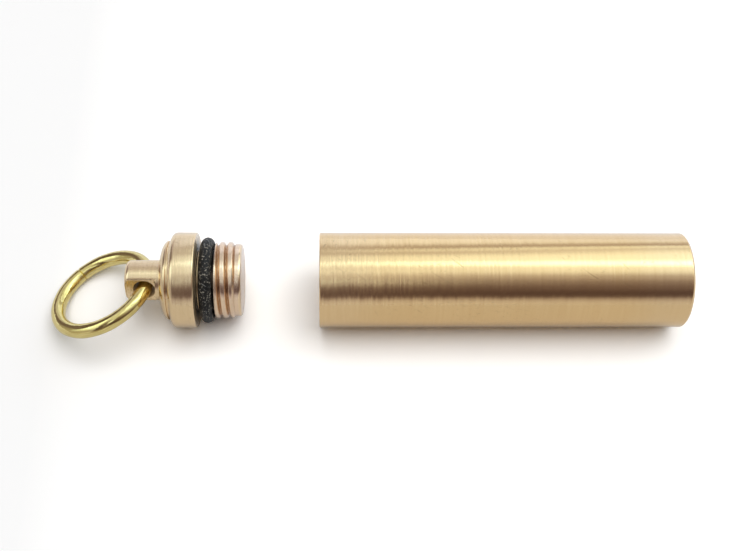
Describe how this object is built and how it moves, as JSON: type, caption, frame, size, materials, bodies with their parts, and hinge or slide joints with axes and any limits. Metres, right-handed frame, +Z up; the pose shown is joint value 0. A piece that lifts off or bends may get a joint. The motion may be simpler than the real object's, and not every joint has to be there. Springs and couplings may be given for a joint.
{
  "type": "bottle keychain",
  "caption": "Screw-top brass pocket bottle: a closed tube and a threaded cap with a rubber seal, hung from a round wire ring; lies with its cap unscrewed.",
  "frame": {"origin": "centre of the flat outer face of the tube's closed end", "axes": "+X along the tube and out of its closed end, so the mouth, the cap and the ring lie towards -X; +Z up, with the part lying on its side on a surface at z = -6.5 mm"},
  "size_m": [0.087, 0.0151, 0.013],
  "materials": {
    "tube": "satin turned brass",
    "cap": "satin turned brass with a cut thread",
    "o_ring": "matte black rubber",
    "key_ring": "bright drawn brass wire"
  },
  "bodies": {
    "tube": {"tube": "tube"},
    "seal": {"o_ring": "o_ring"},
    "cap": {"cap": "cap"},
    "ring": {"key_ring": "key_ring"}
  },
  "joints": [
    {"name": "cap_travel", "type": "slide", "parent": "tube", "child": "seal", "axis": [1, 0, 0], "range_m": [0, 0.0154]},
    {"name": "cap_turn", "type": "hinge", "parent": "seal", "child": "cap", "pos_m": [-0.06651, 0, 0], "axis": [1, 0, 0], "range_deg": [0, 5040]},
    {"name": "ring_swing", "type": "hinge", "parent": "cap", "child": "ring", "pos_m": [-0.07356, 0, 0], "axis": [0, -0.9563, 0.2924], "range_deg": [-156, 113]}
  ],
  "couplings": [
    {"joint": "cap_travel", "follows": "cap_turn", "m_per_rad": 0.00017507}
  ]
}
